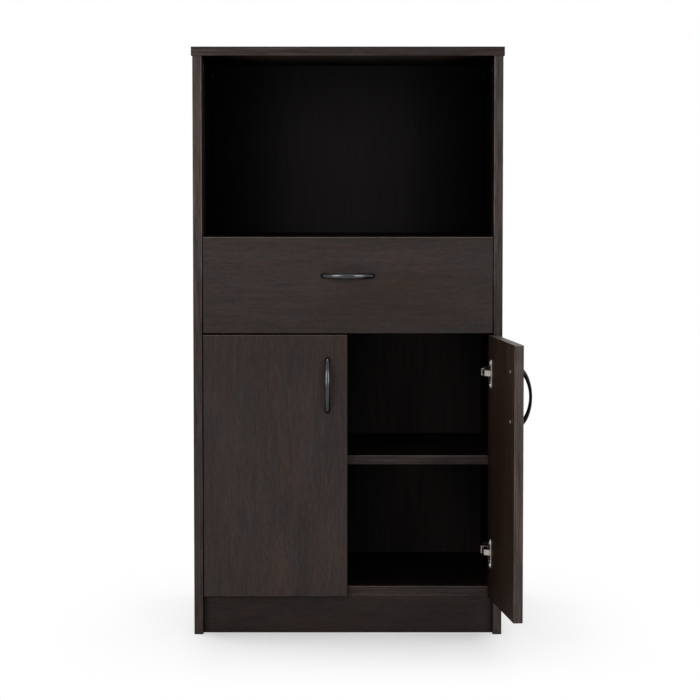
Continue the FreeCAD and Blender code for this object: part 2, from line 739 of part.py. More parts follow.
def handle():
    bow = doc.addObject("Part::Ellipsoid", "Bow")
    bow.Angle1 = -90
    bow.setExpression("Radius1", "Sizes.handle_width / 2")
    bow.setExpression("Radius2", "Sizes.handle_length / 2")
    bow.setExpression("Radius3", "Sizes.handle_projection")
    length, width = "Sizes.handle_length", "Sizes.handle_width"
    front = box(
        "BowFront",
        (f"-{length}", length),
        ("-2 * Sizes.handle_projection", "0"),
        (f"-{width}", width),
    )
    rise = "(Sizes.handle_projection - Sizes.handle_grip)"
    radius = f"((Sizes.handle_opening / 2) ^ 2 + {rise} ^ 2) / (2 * {rise})"
    start = ("0", f"{radius} - {rise}", f"-{width}")
    finger_gap = cylinder("FingerGap", start, "+z", f"2 * {width}", f"2 * {radius}")
    grip = cut("Grip", common("HalfBow", bow, front), finger_gap)
    feet, threads = [], []
    for sign in SIDES.values():
        foot = (f"{sign} * Sizes.handle_pitch / 2", "0", "0")
        feet.append(cylinder("Foot", foot, "-y", "Sizes.foot_height", "Sizes.foot_diameter"))
        snug = "Sizes.handle_screw_shank + 2 * Sizes.fit_play"
        threads.append(cylinder("Thread", foot, "-y", "Sizes.thread_depth", snug))
    return cut("Handle", fuse("FootedBow", grip, *feet), *threads)


HANDLE = handle()


def mount_handle(prefix, board, centre, upright):
    """Put a handle on a front, with its two screws from behind."""
    turn = Rotation(AXES["y"], 90) if upright else Rotation()
    groups[f"{prefix}_handle"].append(link(HANDLE, centre, turn))
    for direction in ("+z", "-z") if upright else ("+x", "-x"):
        face = shifted(centre, direction, "Sizes.handle_pitch / 2")
        fix(f"{prefix}_handle_screws", "handle_screw", shifted(face, "+y", "Sizes.board"), "+y")
        pilot(board, "handle_screw", face, "+y", "Sizes.board")


# Doors and hinges: what turns with a door is drawn from its hinge axis, with the door closed

EDGE = "(Sizes.pivot_outset + Sizes.side_gap)"
OUTER_FACE = "(-Sizes.pivot_depth)"
INNER_FACE = "(Sizes.board - Sizes.pivot_depth)"
CUP_AXIS = f"({EDGE} + Sizes.cup_setback)"
WING_AXIS = f"({CUP_AXIS} + Sizes.wing_offset)"
BEHIND_DOOR = f"({FRONT} + Sizes.board)"
ARM_SCREW_Y = f"({BEHIND_DOOR} + Sizes.plate_setback + Sizes.arm_screw_lead)"
LINK_ROOM = "(Sizes.arm_height - 2 * Sizes.arm_metal)"
LINK_HEIGHT = f"({LINK_ROOM} - 2 * Sizes.link_gap)"


def door_span(sign, near, far):
    """A stretch along X between two distances from the hinge axis towards the door's free edge."""
    return (f"-({far})", f"-({near})") if sign > 0 else (near, far)


def door_x(sign, distance):
    return f"{-sign} * ({distance})"


def door_panel(side, sign):
    far = f"{EDGE} + {DOOR_WIDTH}"
    name = f"{side}_door_panel"
    blanks[name] = box(
        "Door", door_span(sign, EDGE, far), (OUTER_FACE, INNER_FACE), (DOOR_LOW, DOOR_TOP)
    )
    centre = (
        door_x(sign, f"{far} - Sizes.door_handle_inset"),
        OUTER_FACE,
        f"{DOOR_TOP} - Sizes.door_handle_drop",
    )
    mount_handle(f"{side}_door", name, centre, upright=True)
    for height in HINGE_HEIGHTS:
        mouth = (door_x(sign, CUP_AXIS), INNER_FACE, height)
        snug = "Sizes.cup_diameter + 2 * Sizes.fit_play"
        drill(name, mouth, "-y", "Sizes.cup_depth + Sizes.bore_spare", snug)
        middle = (door_x(sign, WING_AXIS), INNER_FACE, height)
        for direction in ("+z", "-z"):
            screw = shifted(middle, direction, "Sizes.wing_pitch / 2")
            depth = "Sizes.cup_screw_length - Sizes.flange_metal + Sizes.bore_spare"
            pilot(name, "cup_screw", screw, "-y", depth)
            seat = shifted(screw, "+y", "Sizes.flange_metal")
            fix(f"{side}_cup_screws", "cup_screw", seat, "+y")


def hinge_cup(side, sign):
    """The cup that sits in the door, with its rim, its two screwed wings and the link's cheeks."""
    centre = (door_x(sign, CUP_AXIS), INNER_FACE, "0")
    rim_size = "Sizes.cup_diameter + 2 * Sizes.flange_rim"
    cup = cylinder("Cup", centre, "-y", "Sizes.cup_depth", "Sizes.cup_diameter")
    rim = cylinder("Rim", centre, "+y", "Sizes.flange_metal", rim_size)
    wing = box(
        "Wing",
        door_span(sign, f"{WING_AXIS} - Sizes.wing_width / 2", f"{WING_AXIS} + Sizes.wing_width / 2"),
        (INNER_FACE, f"{INNER_FACE} + Sizes.flange_metal"),
        ("-Sizes.wing_pitch / 2", "Sizes.wing_pitch / 2"),
    )
    tips, holes = [], []
    for direction in ("+z", "-z"):
        tip = shifted((door_x(sign, WING_AXIS), INNER_FACE, "0"), direction, "Sizes.wing_pitch / 2")
        tips.append(cylinder("Tip", tip, "+y", "Sizes.flange_metal", "Sizes.wing_width"))
        snug = "Sizes.cup_screw_shank + 2 * Sizes.fit_play"
        holes.append(cylinder("ScrewHole", tip, "+y", "Sizes.flange_metal", snug))
    mouth = shifted(centre, "+y", "Sizes.flange_metal")
    depth = "Sizes.cup_depth + Sizes.flange_metal - Sizes.cup_wall"
    hollow = cylinder("Hollow", mouth, "-y", depth, "Sizes.cup_diameter - 2 * Sizes.cup_wall")
    shell = cut("CupShell", fuse("CupBlank", cup, rim, wing, *tips), hollow, *holes)
    near = f"({CUP_AXIS} - Sizes.cup_diameter / 2)"
    reach = door_span(sign, near, f"{near} + Sizes.cheek_reach")
    depths = (f"{INNER_FACE} - Sizes.cup_depth", INNER_FACE)
    half = f"({LINK_ROOM} / 2 + Sizes.cheek_metal)"
    block = box("CheekBlock", reach, depths, (f"-{half}", half))
    room = box("LinkRoom", reach, depths, (f"-{LINK_ROOM} / 2", f"{LINK_ROOM} / 2"))
    fill = cylinder("CupFill", centre, "-y", "Sizes.cup_depth", "Sizes.cup_diameter")
    cheeks = common("Cheeks", cut("CheekPair", block, room), fill)
    pair(f"{side}_hinge_cups", fuse("HingeCup", shell, cheeks))


def hinge_link(side, sign):
    """The link that turns on the arm's pin and hooks into the cup of the open door."""
    half = "Sizes.link_metal / 2"
    knee = "Sizes.link_length"
    tip = f"({knee} + Sizes.hook_length)"
    low = f"(Sizes.link_dip + Sizes.hook_drop)"
    rib = [
        ("0", half),
        (knee, f"{half} - Sizes.link_dip"),
        (tip, f"{half} - {low}"),
        (f"{tip} - Sizes.link_toe", f"-{half} - {low}"),
        (f"{knee} - Sizes.link_metal / 2", f"-{half} - Sizes.link_dip"),
        ("0", f"-{half}"),
    ]
    points = [(f"{-sign} * ({along})", across) for along, across in rib]
    start = ("0", "0", f"-{LINK_HEIGHT} / 2")
    boss = cylinder("LinkBoss", start, "+z", LINK_HEIGHT, "Sizes.link_boss")
    bore = "Sizes.hinge_pin_diameter + 4 * Sizes.fit_play"
    hole = cylinder("LinkHole", start, "+z", LINK_HEIGHT, bore)
    bar = fuse("LinkBar", profile("LinkRib", points, LINK_HEIGHT), boss)
    pair(f"{side}_hinge_links", cut("HingeLink", bar, hole))


def hinge_arm(side, sign):
    """The cranked channel that stands off the side panel and carries the link's pin."""

    def plan(points):
        return [(side_x(sign, rise), f"{BEHIND_DOOR} + {depth}") for rise, depth in points]

    nose_back = "Sizes.arm_nose_rise - Sizes.arm_nose_depth"
    skin = plan(
        [
            (nose_back, "Sizes.arm_nose"),
            ("Sizes.arm_nose_rise", "Sizes.arm_nose"),
            ("Sizes.arm_nose_rise", "Sizes.arm_crank_start"),
            ("Sizes.arm_tail_rise", "Sizes.arm_crank_end"),
            ("Sizes.arm_tail_rise", "Sizes.arm_end"),
            ("Sizes.arm_foot_rise", "Sizes.arm_end"),
            ("Sizes.arm_foot_rise", "Sizes.arm_crank_end"),
            (nose_back, "Sizes.arm_crank_start"),
        ]
    )
    metal = "Sizes.arm_metal"
    beyond = "Sizes.arm_nose_rise + Sizes.arm_metal"
    hollow = plan(
        [
            ("0", "-Sizes.board"),
            (beyond, "-Sizes.board"),
            (beyond, "Sizes.arm_web_start"),
            (f"Sizes.arm_nose_rise - {metal}", "Sizes.arm_web_start"),
            (f"Sizes.arm_nose_rise - {metal}", "Sizes.arm_crank_start"),
            (f"Sizes.arm_tail_rise - {metal}", "Sizes.arm_crank_end"),
            (f"Sizes.arm_tail_rise - {metal}", f"Sizes.arm_end + {metal}"),
            ("0", f"Sizes.arm_end + {metal}"),
        ]
    )
    body = profile("ArmBody", skin, "Sizes.arm_height")
    pocket(body, "ArmHollow", hollow, LINK_ROOM)
    pin_axis = (side_x(sign, "Sizes.pin_axis_rise"), f"{BEHIND_DOOR} + Sizes.pin_axis_depth", "0")
    foot = shifted(pin_axis, "-z", "Sizes.arm_height / 2")
    snug = "Sizes.hinge_pin_diameter + 2 * Sizes.fit_play"
    eye = cylinder("PinEye", foot, "+z", "Sizes.arm_height", snug)
    screw = (side_x(sign, "Sizes.arm_tail_rise"), ARM_SCREW_Y, "0")
    snug = "Sizes.arm_screw_shank + 2 * Sizes.fit_play"
    screw_hole = cylinder("ArmScrewHole", screw, outward(sign), metal, snug)
    pair(f"{side}_hinge_arms", cut("HingeArm", body, eye, screw_hole))
    pin = cylinder("HingePin", foot, "+z", "Sizes.arm_height", "Sizes.hinge_pin_diameter")
    pair("hinge_pins", pin)
    for height in HINGE_HEIGHTS:
        seat = (screw[0], screw[1], height)
        fix("hinge_arm_screws", "arm_screw", seat, opposite(outward(sign)))


def hinge_plate(side, sign):
    """The mounting plate on the side panel, with a wing above and below for its screws."""
    near = f"({BEHIND_DOOR} + Sizes.plate_setback - Sizes.plate_lead)"
    ridge = box(
        "Ridge",
        side_span(sign, "0", "Sizes.plate_rise"),
        (near, f"{near} + Sizes.plate_length"),
        ("-Sizes.plate_height / 2", "Sizes.plate_height / 2"),
    )
    middle = f"({BEHIND_DOOR} + Sizes.plate_setback)"
    wing = box(
        "PlateWing",
        side_span(sign, "0", "Sizes.plate_metal"),
        (f"{middle} - Sizes.plate_wing / 2", f"{middle} + Sizes.plate_wing / 2"),
        ("-Sizes.plate_pitch / 2", "Sizes.plate_pitch / 2"),
    )
    inwards = opposite(outward(sign))
    tips, holes = [], []
    for direction in ("+z", "-z"):
        tip = shifted((side_x(sign, "0"), middle, "0"), direction, "Sizes.plate_pitch / 2")
        tips.append(cylinder("PlateTip", tip, inwards, "Sizes.plate_metal", "Sizes.plate_wing"))
        snug = "Sizes.plate_screw_shank + 2 * Sizes.fit_play"
        holes.append(cylinder("PlateHole", tip, inwards, "Sizes.plate_metal", snug))
        for height in HINGE_HEIGHTS:
            mouth = (tip[0], tip[1], f"{height} + {tip[2]}")
            seat = shifted(mouth, inwards, "Sizes.plate_metal")
            fix("hinge_plate_screws", "plate_screw", seat, inwards)
            depth = "Sizes.plate_screw_length - Sizes.plate_metal + Sizes.bore_spare"
            pilot(f"{side}_side_panel", "plate_screw", mouth, outward(sign), depth)
    top = (side_x(sign, "Sizes.plate_rise"), ARM_SCREW_Y, "0")
    snug = "Sizes.arm_screw_shank + 2 * Sizes.fit_play"
    depth = "Sizes.arm_screw_length - Sizes.arm_tail_rise + Sizes.plate_rise + Sizes.bore_spare"
    thread = cylinder("ArmScrewThread", top, outward(sign), depth, snug)
    pair(f"{side}_hinge_plates", cut("HingePlate", fuse("Plate", ridge, wing, *tips), thread, *holes))


def hang(item, sign, point, angle):
    """Move a piece to the axis that it turns on, and turn it about that axis."""
    item.Placement = Placement(Vector(), Rotation(AXES["z"], 1))
    x, y = point
    item.setExpression(".Placement.Base.x", f"{sign} * ({x})")
    item.setExpression(".Placement.Base.y", y)
    item.setExpression(".Placement.Rotation.Angle", angle)


DOOR_AXIS = (f"{INSIDE} + Sizes.pivot_outset", f"{FRONT} + Sizes.pivot_depth")
LINK_AXIS = (f"{INSIDE} - Sizes.pin_axis_rise", f"{BEHIND_DOOR} + Sizes.pin_axis_depth")
DOOR_ANGLES = {"left": "0", "right": "Sizes.right_door_angle"}
LINK_ANGLES = {
    "left": "Sizes.link_tilt",
    "right": "Sizes.link_ratio * Sizes.right_door_angle - Sizes.link_tilt",
}

# Assembly

carcass_boards()
carcass_joints()
shelf_pins()
back_boards()
slide_channels()
drawer_rails()
rollers()
drawer_box()
centre = ("0", FRONT, f"{FRONT_TOP} - Sizes.drawer_handle_drop")
mount_handle("drawer", "drawer_front", centre, upright=False)
for side, sign in SIDES.items():
    door_panel(side, sign)
    hinge_cup(side, sign)
    hinge_link(side, sign)
    hinge_arm(side, sign)
    hinge_plate(side, sign)

for name, blank in blanks.items():
    nodes[name] = cut("Drilled", blank, *bores[name]) if bores[name] else blank
for name, copies in groups.items():
    group = doc.addObject("Part::Compound", "Group")
    group.Links = copies
    nodes[name] = group

for side, sign in SIDES.items():
    for piece in ("door_panel", "door_handle", "door_handle_screws", "hinge_cups", "cup_screws"):
        hang(nodes[f"{side}_{piece}"], sign, DOOR_AXIS, DOOR_ANGLES[side])
    hang(nodes[f"{side}_hinge_links"], sign, LINK_AXIS, LINK_ANGLES[side])

for name, item in nodes.items():
    item.Label = name
doc.recompute()

for item in doc.Objects:
    if "Invalid" in item.State or "Error" in item.State:
        raise RuntimeError(f"{item.Label} ({item.Name}) is {item.State}")
for name, item in nodes.items():
    if item.Label != name:
        raise RuntimeError(f"{name} is labelled {item.Label}")
    if item.Shape.isNull() or not item.Shape.isValid() or not item.Shape.Solids:
        raise RuntimeError(f"{name} has no valid shape")

os.makedirs("parts", exist_ok=True)
for name, item in nodes.items():
    item.Shape.exportStep(f"parts/{name}.step")
print(f"{len(nodes)} nodes, {sum(len(item.Shape.Solids) for item in nodes.values())} solids")
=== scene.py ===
import math

import bmesh
import bpy
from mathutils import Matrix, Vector


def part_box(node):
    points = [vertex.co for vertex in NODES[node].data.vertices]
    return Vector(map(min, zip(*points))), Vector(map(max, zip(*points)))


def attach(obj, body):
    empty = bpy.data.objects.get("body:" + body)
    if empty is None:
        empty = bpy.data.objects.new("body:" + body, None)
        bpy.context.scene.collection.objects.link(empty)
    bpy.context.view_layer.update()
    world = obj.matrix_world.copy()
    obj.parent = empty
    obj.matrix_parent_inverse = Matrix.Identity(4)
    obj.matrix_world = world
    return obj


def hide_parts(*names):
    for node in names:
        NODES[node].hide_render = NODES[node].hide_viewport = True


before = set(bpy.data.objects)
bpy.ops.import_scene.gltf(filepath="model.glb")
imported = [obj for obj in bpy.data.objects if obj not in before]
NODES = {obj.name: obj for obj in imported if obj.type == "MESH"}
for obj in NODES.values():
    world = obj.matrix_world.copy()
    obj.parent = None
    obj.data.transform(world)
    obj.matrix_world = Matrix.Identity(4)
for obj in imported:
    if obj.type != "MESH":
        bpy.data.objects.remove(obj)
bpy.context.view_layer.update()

# Camera, in pixels of a 700 x 700 picture and metres

IMAGE = 700
FOCAL = 2384
CAMERA_X = 0.0043
CAMERA_Z = 0.9354
DISTANCE = 4.8  # in front of the front plane
FRONT = -0.029
PITCH = math.radians(3.566)
AXIS_ROW = 322.0
SENSOR = 36.0
FAR = 100

camera_data = bpy.data.cameras.new("camera")
camera_data.sensor_width = SENSOR
camera_data.lens = FOCAL / IMAGE * SENSOR
camera_data.shift_y = -(IMAGE / 2 - AXIS_ROW) / IMAGE
camera_data.clip_end = FAR
camera = bpy.data.objects.new("camera", camera_data)
camera.location = (CAMERA_X, FRONT - DISTANCE, CAMERA_Z)
camera.rotation_euler = (math.pi / 2 - PITCH, 0, 0)
bpy.context.scene.collection.objects.link(camera)
bpy.context.scene.camera = camera
bpy.context.scene.view_settings.view_transform = "Standard"

# Shader building blocks

SAMPLES = 6  # of the nodes that look at the shape round a place
CORNER_TILT = (0.8, 0.998)  # cosine of a rounded corner's tilt: at the corner, and clear of it
UPWARD_TILT = (0.06, 0.6)  # upward part of its direction: clear of the corner, and at it
GAP_SKY = (0.42, 0.85)  # open share of the surroundings for the painted gap shade: deep in a gap, and in the open


class Shader:
    """A material's node tree, with short calls for the nodes that the finishes share."""

    def __init__(self, name):
        self.material = bpy.data.materials.new(name)
        self.material.use_nodes = True
        self.tree = self.material.node_tree
        self.tree.nodes.clear()
        self.output = self.node("ShaderNodeOutputMaterial")
        self.surface = self.node("ShaderNodeBsdfPrincipled")
        self.join(self.surface.outputs[0], self.output.inputs[0])

    def node(self, kind, **settings):
        item = self.tree.nodes.new(kind)
        for name, value in settings.items():
            setattr(item, name, value)
        return item

    def join(self, source, target):
        self.tree.links.new(source, target)

    def put(self, socket, value):
        """Set an input to a number, or join another node's output to it."""
        if isinstance(value, bpy.types.NodeSocket):
            self.join(value, socket)
        else:
            socket.default_value = value

    def coordinates(self, kind="Object"):
        return self.node("ShaderNodeTexCoord").outputs[kind]

    def stretch(self, vector, scale, shift=(0, 0, 0)):
        mapping = self.node("ShaderNodeMapping")
        mapping.inputs["Scale"].default_value = scale
        mapping.inputs["Location"].default_value = shift
        self.join(vector, mapping.inputs["Vector"])
        return mapping.outputs[0]

    def noise(self, vector, scale, detail, roughness=0.5, distortion=0.0):
        item = self.node("ShaderNodeTexNoise")
        self.join(vector, item.inputs["Vector"])
        item.inputs["Scale"].default_value = scale
        item.inputs["Detail"].default_value = detail
        item.inputs["Roughness"].default_value = roughness
        item.inputs["Distortion"].default_value = distortion
        return item.outputs["Fac"]

    def maths(self, operation, first, second=0.0, third=0.0):
        item = self.node("ShaderNodeMath", operation=operation)
        for socket, value in zip(item.inputs, (first, second, third)):
            self.put(socket, value)
        return item.outputs[0]

    def product(self, first, *others):
        for other in others:
            first = self.maths("MULTIPLY", first, other)
        return first

    def span(self, value, low, high, new_low=0.0, new_high=1.0):
        item = self.node("ShaderNodeMapRange")
        for socket, number in zip(item.inputs, (value, low, high, new_low, new_high)):
            self.put(socket, number)
        return item.outputs[0]

    def ramp(self, value, stops):
        item = self.node("ShaderNodeValToRGB")
        elements = item.color_ramp.elements
        while len(elements) < len(stops):
            elements.new(0.5)
        for element, (place, colour) in zip(elements, stops):
            element.position = place
            element.color = (*colour, 1)
        self.join(value, item.inputs[0])
        return item.outputs[0]

    def blend(self, share, first, second, kind="MIX"):
        item = self.node("ShaderNodeMix", data_type="RGBA", blend_type=kind)
        for index, value in ((0, share), (6, first), (7, second)):
            if isinstance(value, tuple):
                value = (*value, 1)
            self.put(item.inputs[index], value)
        return item.outputs[2]

    def tint(self, colour, tone, share=1.0):
        """The colour with a share of another colour multiplied in."""
        return self.blend(share, colour, tone, "MULTIPLY")

    def grey(self, value):
        item = self.node("ShaderNodeCombineColor")
        for socket in item.inputs[:3]:
            self.put(socket, value)
        return item.outputs[0]

    def dot(self, first, second):
        item = self.node("ShaderNodeVectorMath", operation="DOT_PRODUCT")
        self.put(item.inputs[0], first)
        self.put(item.inputs[1], second)
        return item.outputs["Value"]

    def parts(self, vector):
        """The X, Y and Z outputs of a vector."""
        split = self.node("ShaderNodeSeparateXYZ")
        self.join(vector, split.inputs[0])
        return split.outputs

    def bevel(self, radius):
        """The surface's direction as if its corners were rounded."""
        item = self.node("ShaderNodeBevel", samples=SAMPLES)
        item.inputs["Radius"].default_value = radius
        return item.outputs[0]

    def bump(self, height, distance, edge=0.0):
        """Raise the surface by a height map; with an edge radius, corners also catch light."""
        item = self.node("ShaderNodeBump")
        item.inputs["Distance"].default_value = distance
        self.join(height, item.inputs["Height"])
        if edge:
            self.join(self.bevel(edge), item.inputs["Normal"])
        self.join(item.outputs[0], self.surface.inputs["Normal"])

    def corners(self, radius):
        """Two shares that are 1 along the outer corners, of all corners and of the upper ones:
        where highlights and shade are painted.
        """
        rounded = self.bevel(radius)
        straight = self.node("ShaderNodeNewGeometry").outputs["True Normal"]
        every = self.span(self.dot(rounded, straight), *CORNER_TILT, 1.0, 0.0)
        return every, self.span(self.parts(rounded)["Z"], *UPWARD_TILT)

    def exposure(self, distance):
        """Painted shade in narrow gaps: 0 deep in a gap, 1 in the open."""
        item = self.node("ShaderNodeAmbientOcclusion", samples=SAMPLES)
        item.inputs["Distance"].default_value = distance
        return self.span(item.outputs["AO"], *GAP_SKY)

    def finish(self, colour, roughness, **others):
        self.put(self.surface.inputs["Base Color"], colour)
        self.put(self.surface.inputs["Roughness"], roughness)
        for name, value in others.items():
            self.put(self.surface.inputs[name.replace("_", " ")], value)
        return self.material


def clothe(material, *names):
    for name in names:
        mesh = NODES[name].data
        mesh.materials.clear()
        mesh.materials.append(material)


# Tones: numbers, or functions that work out a number for each place of a shader's surface


def tone_of(shader, tone):
    return tone(shader) if callable(tone) else tone


def along_axis(shader, axis):
    return shader.parts(shader.coordinates())[axis.upper()]


def facing(shader, direction):
    """How squarely the piece's own surface looks along a direction: from -1 to 1."""
    return shader.dot(shader.coordinates("Normal"), direction)


def below(shader, axis, limit, fold=False):
    """1 where the place along an axis is under a limit; folded, the distance from 0 counts."""
    value = along_axis(shader, axis)
    if fold:
        value = shader.maths("ABSOLUTE", value)
    return shader.maths("LESS_THAN", value, limit)


def slope(axis, low, high, first, last, fold=False):
    """A tone that runs from the first to the last between two places along an axis.

    Folded, the distance from 0 counts in place of the place.
    """

    def tone(shader):
        place = along_axis(shader, axis)
        if fold:
            place = shader.maths("ABSOLUTE", place)
        return shader.span(place, low, high, first, last)

    return tone


def times(*tones, least=0.0):
    """The product of several tones, but not under the least."""

    def tone(shader):
        value = shader.product(*(tone_of(shader, part) for part in tones))
        return shader.maths("MAXIMUM", value, least)

    return tone


# Board finishes

LAMINATE_GLOSS = 0.13
LEAST_GLOSS = 0.35  # share of it that the darkest faces keep
PORE_COLOUR = (0.5, 0.46, 0.42)
PORE_DEPTH = 0.00012
BOARD_ROUNDING = 0.0012
# Painted highlight and shade along the front's corners: their width, and the highlight's strength
PAINTED_CORNER_RADIUS = 0.003
CORNER_LIGHT = 2.0
SQUARE_ON = 0.5  # a surface looks along a direction where its facing is above this
# how far round a place the painted gap shade looks
GAP_REACH = 0.006
FRONT_EXPOSURE = 0.7  # least that the painted gap shade leaves on faces that look to the front
HARDBOARD_GLOSS = 0.2
BACK_BOARD_MIDDLE = 0.4325  # of its thickness, along Y


def wood_grain(shader, along, shift):
    """Espresso wood in short dark and light streaks and warm and cool bands.

    Returned are its colour and the noises for its streaks, fibres, pores and long streaks.
    """
    place = shader.coordinates()
    offset = (shift, shift * 0.7, shift * 1.3)

    def grain(squeeze):
        scale = [1.0, 1.0, 1.0]
        scale["xyz".index(along)] = squeeze
        return shader.stretch(place, scale, offset)

    drift = shader.noise(grain(0.25), 9.0, 2.0, 0.5, 0.8)
    streak = shader.noise(grain(0.09), 150.0, 3.0, 0.6, 0.4)
    fine = shader.noise(grain(0.16), 430.0, 3.0, 0.65)
    pore = shader.span(shader.noise(grain(0.05), 1500.0, 1.0, 0.4), 0.58, 0.72)
    tone = shader.product(drift, 0.3)
    tone = shader.maths("MULTIPLY_ADD", streak, 0.3, tone)
    tone = shader.maths("MULTIPLY_ADD", fine, 0.4, tone)
    wood = shader.ramp(
        tone,
        [
            (0.34, (0.0096, 0.0062, 0.0049)),
            (0.46, (0.0164, 0.0111, 0.0090)),
            (0.54, (0.0218, 0.0151, 0.0127)),
            (0.66, (0.0316, 0.0228, 0.0196)),
        ],
    )
    hue = shader.product(shader.noise(grain(0.12), 130.0, 4.0, 0.7, 0.5), 0.6)
    hue = shader.maths("MULTIPLY_ADD", shader.noise(grain(0.25), 22.0, 2.0), 0.4, hue)
    band = shader.blend(shader.span(hue, 0.38, 0.62), (0.86, 1.01, 1.14), (1.18, 0.96, 0.84))
    wood = shader.tint(wood, band)
    wood = shader.tint(wood, PORE_COLOUR, shader.product(pore, 0.4))
    long_streak = shader.noise(grain(0.035), 310.0, 2.0, 0.55, 0.3)
    return wood, streak, fine, pore, long_streak


def laminate(
    name,
    along,
    thickness,
    edge=1.0,
    shift=0.0,
    face=1.0,
    inner=None,
    dark=0.2,
    tint=None,
    upper_highlight=1.2,
    corner_tone=-0.2,
    deep=0.0,
):
    """Espresso laminate on a board: grain along one axis, shifted to differ from other boards.

    edge and face are the tones of the narrow edges, which have longer streaks, and of the wide
    faces; where they slope from place to place, they paint light. inner says which wide faces are
    on the inside; those have the tone dark, which paints their light and shade, and the tint.
    The front's corners have a thin painted highlight: line paints it on the upper ones and
    corner_tone on all of them, and corner_tone paints shade there where negative. Narrow gaps get
    painted shade, and deep is the least of the tone that it leaves.
    """
    shader = Shader(name)
    wood, streak, fine, pore, long_streak = wood_grain(shader, along, shift)
    squarely = shader.maths("ABSOLUTE", facing(shader, thickness))
    narrow = shader.maths("LESS_THAN", squarely, SQUARE_ON)
    edge = shader.product(tone_of(shader, edge), shader.span(long_streak, 0.36, 0.64, 0.74, 1.3))
    # Inner faces take the tone dark, which paints their light and shade
    inside = inner(shader) if inner else 0.0
    wide = shader.span(inside, 0.0, 1.0, tone_of(shader, face), tone_of(shader, dark))
    shade = shader.span(narrow, 0.0, 1.0, wide, edge)

    # Painted highlight and shade along the front's corners, and painted shade in narrow gaps
    ahead = shader.maths("GREATER_THAN", facing(shader, (0, -1, 0)), SQUARE_ON)
    every, upper = shader.corners(PAINTED_CORNER_RADIUS)
    every = shader.product(every, tone_of(shader, corner_tone))
    corner = shader.product(shader.maths("MULTIPLY_ADD", upper, upper_highlight, every), ahead)
    lit = shader.maths("MULTIPLY_ADD", corner, CORNER_LIGHT, 1.0)
    least = shader.maths("MAXIMUM", shader.product(ahead, FRONT_EXPOSURE), deep)
    exposure = shader.maths("MAXIMUM", shader.exposure(GAP_REACH), least)
    shade = shader.product(shade, lit, exposure)

    wood = shader.tint(wood, shader.grey(shade))
    if tint:
        lining = shader.product(shader.maths("SUBTRACT", 1.0, narrow), inside)
        wood = shader.tint(wood, tint, lining)
    shader.bump(shader.maths("MULTIPLY_ADD", pore, -0.6, fine), PORE_DEPTH, BOARD_ROUNDING)
    rough = shader.span(shader.maths("ADD", streak, pore), 0.3, 1.4, 0.42, 0.56)
    gloss = shader.product(shader.maths("MAXIMUM", shade, LEAST_GLOSS), LAMINATE_GLOSS, exposure)
    return shader.finish(wood, rough, Specular_IOR_Level=gloss)


def hardboard(name, inside, gloss=HARDBOARD_GLOSS, light_falloff=None):
    """A thin board: printed near-black towards the inside, bare pressed fibre behind.

    inside is the print's lightness; its values differ from board to board and paint the shade
    behind the bay and the light in the cupboard. fall is painted light: the tone by which the print
    and its gloss drop away.
    """
    shader = Shader(name)
    place = shader.coordinates()
    fibre = shader.noise(place, 520.0, 5.0, 0.7, 1.5)
    cloud = shader.noise(place, 9.0, 3.0)
    print_grain = shader.noise(shader.stretch(place, (1.0, 1.0, 0.04)), 160.0, 3.0, 0.6)
    tone = shader.maths("MULTIPLY_ADD", fibre, 0.35, shader.product(print_grain, 0.65))
    printed = shader.ramp(
        tone,
        [
            (0.3, tuple(inside * part for part in (0.009, 0.007, 0.0064))),
            (0.7, tuple(inside * part for part in (0.024, 0.0195, 0.0178))),
        ],
    )
    bare = shader.ramp(fibre, [(0.3, (0.105, 0.062, 0.036)), (0.7, (0.190, 0.120, 0.074))])
    bare = shader.tint(bare, (0.86, 0.82, 0.78), shader.span(cloud, 0.4, 0.7, 0.0, 0.4))
    inward = below(shader, "y", BACK_BOARD_MIDDLE)
    # Painted light and shade on the print and its gloss
    if light_falloff:
        tone = light_falloff(shader)
        printed = shader.tint(printed, shader.grey(tone))
        gloss = shader.span(inward, 0.0, 1.0, HARDBOARD_GLOSS, shader.product(tone, gloss))
    shader.bump(fibre, distance=0.00015, edge=0.0004)
    rough = shader.span(fibre, 0.3, 0.7, 0.62, 0.78)
    colour = shader.blend(inward, bare, printed)
    return shader.finish(colour, rough, Specular_IOR_Level=gloss)


# Finishes of the fittings

# colour of the painted shade on the metal
PAINTED_SHADE_METAL = (0.22, 0.21, 0.20)
# colour of the painted dark reflection on the handles' flanks
FLANK_DARK_REFLECTION = (0.010, 0.010, 0.011)


def metal(name, dark, light, rough, bump=0.00003, painted_shade=None):
    """Plated or bare metal: faint scratches, cloudy tone and softened corners.

    dim says where shade is painted on the metal, much darker.
    """
    shader = Shader(name)
    place = shader.coordinates()
    scratch = shader.noise(place, 900.0, 4.0, 0.65)
    cloud = shader.noise(place, 120.0, 3.0, 0.6)
    tone = shader.maths("MULTIPLY_ADD", scratch, 0.5, shader.product(cloud, 0.5))
    colour = shader.ramp(tone, [(0.35, dark), (0.65, light)])
    # Painted shade
    if painted_shade:
        colour = shader.tint(colour, PAINTED_SHADE_METAL, painted_shade(shader))
    shader.bump(scratch, bump, edge=0.0003)
    low, high = rough
    return shader.finish(colour, shader.span(tone, 0.35, 0.65, high, low), Metallic=1.0)


def nylon():
    shader = Shader("white_nylon")
    place = shader.coordinates()
    grain = shader.noise(place, 1400.0, 2.0)
    cloud = shader.noise(place, 150.0, 3.0)
    colour = shader.ramp(cloud, [(0.35, (0.60, 0.585, 0.54)), (0.65, (0.70, 0.69, 0.65))])
    shader.bump(grain, distance=0.00004, edge=0.0004)
    rough = shader.span(grain, 0.3, 0.7, 0.38, 0.5)
    return shader.finish(colour, rough, Subsurface_Weight=0.08, Subsurface_Scale=0.002)


